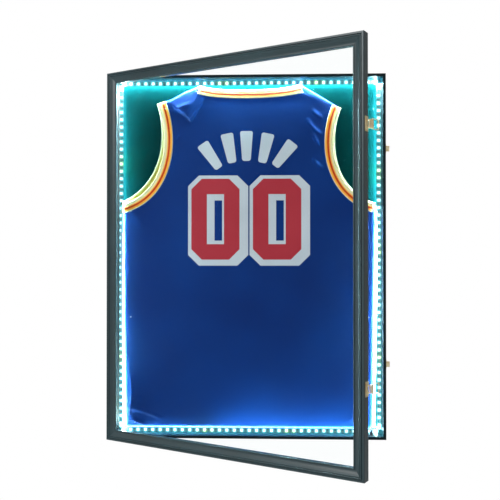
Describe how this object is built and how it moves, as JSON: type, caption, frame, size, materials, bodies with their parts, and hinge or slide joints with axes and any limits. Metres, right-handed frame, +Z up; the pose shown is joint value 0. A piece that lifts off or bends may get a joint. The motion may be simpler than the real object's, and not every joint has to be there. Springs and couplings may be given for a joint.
{
  "type": "jersey display frame",
  "caption": "Wall-hung shallow display case for a jersey, with a lit interior and a hinged glazed door held by two toggle latches.",
  "frame": {"origin": "on the wall plane, midway between the round entries of the two keyhole hangers", "axes": "+X right as seen from the front, +Y into the wall, +Z up"},
  "size_m": [0.6182, 0.3584, 0.802],
  "materials": {
    "black_board": "satin black paint on fibreboard",
    "hardboard": "bare hardboard",
    "pin_panel": "matte foam board",
    "felt": "black felt",
    "pine": "sawn softwood",
    "zinc_steel": "zinc plated",
    "plain_steel": "bright steel",
    "tape_white": "white light tape",
    "led_lens": "lit cyan-white lens",
    "wire_black": "black wire sleeve",
    "socket_black": "moulded black",
    "nickel": "nickel plated",
    "jersey_cloth": "royal blue satin knit",
    "black_steel": "black lacquer",
    "black_moulding": "satin black lacquer",
    "clear_acrylic": "clear polished acrylic",
    "black_strip": "black",
    "brass": "bright brass plate"
  },
  "bodies": {
    "case": {"case_top_board": "black_board", "case_bottom_board": "black_board", "case_left_board": "black_board", "case_right_board": "black_board", "back_board": "hardboard", "back_board_tacks": "plain_steel", "backing_panel": "pin_panel", "felt_liner": "felt", "hanging_rail": "pine", "lower_rail": "pine", "keyhole_hanger_left": "zinc_steel", "keyhole_hanger_right": "zinc_steel", "hanger_screws": "zinc_steel", "led_tape_top": "tape_white", "led_tape_right": "tape_white", "led_tape_bottom": "tape_white", "led_tape_left": "tape_white", "led_chips_top": "led_lens", "led_chips_right": "led_lens", "led_chips_bottom": "led_lens", "led_chips_left": "led_lens", "led_corner_jumpers": "wire_black", "led_lead": "wire_black", "dc_inlet_housing": "socket_black", "dc_inlet_pin": "nickel", "dc_inlet_nut": "nickel", "jersey": "jersey_cloth", "jersey_pins": "plain_steel", "upper_hinge_case_leaf": "black_steel", "lower_hinge_case_leaf": "black_steel", "upper_hinge_pin": "black_steel", "lower_hinge_pin": "black_steel", "hinge_case_screws": "black_steel", "upper_catch": "brass", "lower_catch": "brass", "catch_screws": "brass"},
    "door": {"door_top_rail": "black_moulding", "door_bottom_rail": "black_moulding", "door_hinge_stile": "black_moulding", "door_latch_stile": "black_moulding", "door_corner_nails": "plain_steel", "acrylic_panel": "clear_acrylic", "panel_strip_top": "black_strip", "panel_strip_bottom": "black_strip", "panel_strip_left": "black_strip", "panel_strip_right": "black_strip", "upper_hinge_door_leaf": "black_steel", "lower_hinge_door_leaf": "black_steel", "hinge_door_screws": "black_steel", "upper_latch_base": "brass", "lower_latch_base": "brass", "latch_screws": "brass", "upper_lever_pin": "brass", "lower_lever_pin": "brass"},
    "upper_lever": {"upper_latch_lever": "brass"},
    "upper_loop": {"upper_latch_loop": "brass"},
    "lower_lever": {"lower_latch_lever": "brass"},
    "lower_loop": {"lower_latch_loop": "brass"}
  },
  "joints": [
    {"name": "door_hinge", "type": "hinge", "parent": "case", "child": "door", "pos_m": [-0.302, -0.0502, -0.364], "axis": [0, 0, -1], "range_deg": [-28.9, 146]},
    {"name": "upper_lever_hinge", "type": "hinge", "parent": "door", "child": "upper_lever", "pos_m": [0.22646, -0.34786, -0.128], "axis": [0, 0, 1], "range_deg": [-130, 20]},
    {"name": "upper_loop_hinge", "type": "hinge", "parent": "upper_lever", "child": "upper_loop", "pos_m": [0.23145, -0.34841, -0.128], "axis": [0, 0, 1], "range_deg": [-23, 144]},
    {"name": "lower_lever_hinge", "type": "hinge", "parent": "door", "child": "lower_lever", "pos_m": [0.22646, -0.34786, -0.6], "axis": [0, 0, 1], "range_deg": [-130, 20]},
    {"name": "lower_loop_hinge", "type": "hinge", "parent": "lower_lever", "child": "lower_loop", "pos_m": [0.23145, -0.34841, -0.6], "axis": [0, 0, 1], "range_deg": [-23, 144]}
  ],
  "couplings": [
    {"joint": "upper_loop_hinge", "follows": "upper_lever_hinge", "ratio": -1.1038},
    {"joint": "lower_loop_hinge", "follows": "lower_lever_hinge", "ratio": -1.1038}
  ]
}
